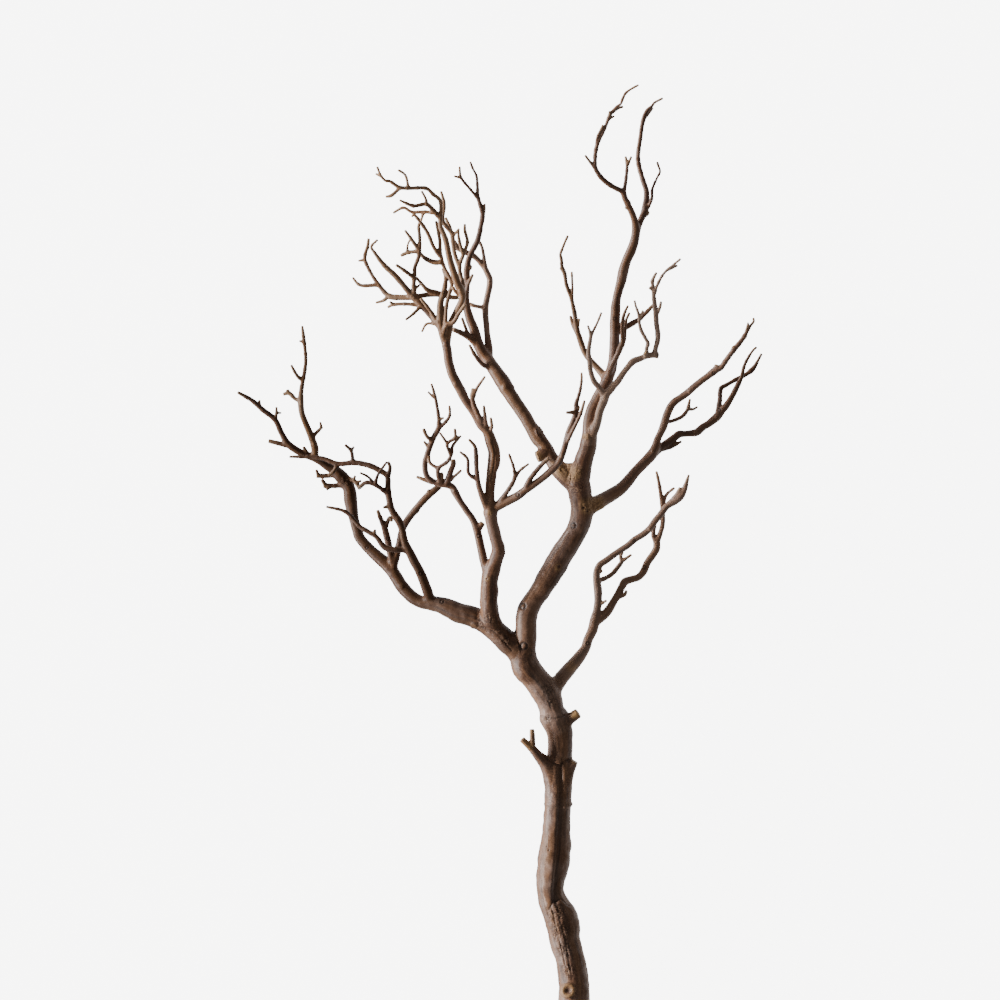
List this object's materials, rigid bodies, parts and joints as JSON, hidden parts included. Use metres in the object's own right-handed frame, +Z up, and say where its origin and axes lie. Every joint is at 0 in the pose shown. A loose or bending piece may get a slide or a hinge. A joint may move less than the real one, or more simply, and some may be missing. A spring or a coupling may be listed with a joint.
{
  "type": "dried tree branch",
  "caption": "Leafless dried tree branch lying on its side, a crooked stem that forks into spreading limbs with fine twigs, for display or as a scene prop.",
  "frame": {"origin": "middle of the branch's outline on the floor that it lies on", "axes": "+Y from the sawn end of the stem towards the twigs, +Z up from the floor"},
  "size_m": [0.5266, 0.9276, 0.1928],
  "materials": {
    "old_bark": "rough, fissured dry bark",
    "smooth_bark": "smooth satin dry bark",
    "twig_bark": "satin dry twig bark, paler at the tips"
  },
  "bodies": {
    "root": {"stem": "old_bark", "leader": "smooth_bark", "right_lower_limb": "smooth_bark", "right_lower_fork": "smooth_bark", "left_limb": "smooth_bark", "left_tip_limb": "twig_bark", "left_side_limb": "smooth_bark", "left_inner_limb": "smooth_bark", "middle_limb": "smooth_bark", "middle_side_limb": "smooth_bark", "middle_arch_limb": "smooth_bark", "crown_limb": "twig_bark", "crown_left_limb": "twig_bark", "back_limb": "smooth_bark", "back_side_limb": "smooth_bark", "top_limb": "smooth_bark", "top_right_limb": "smooth_bark", "top_left_limb": "twig_bark", "top_front_limb": "smooth_bark", "right_upper_limb": "smooth_bark", "right_outer_limb": "smooth_bark"}
  },
  "joints": []
}
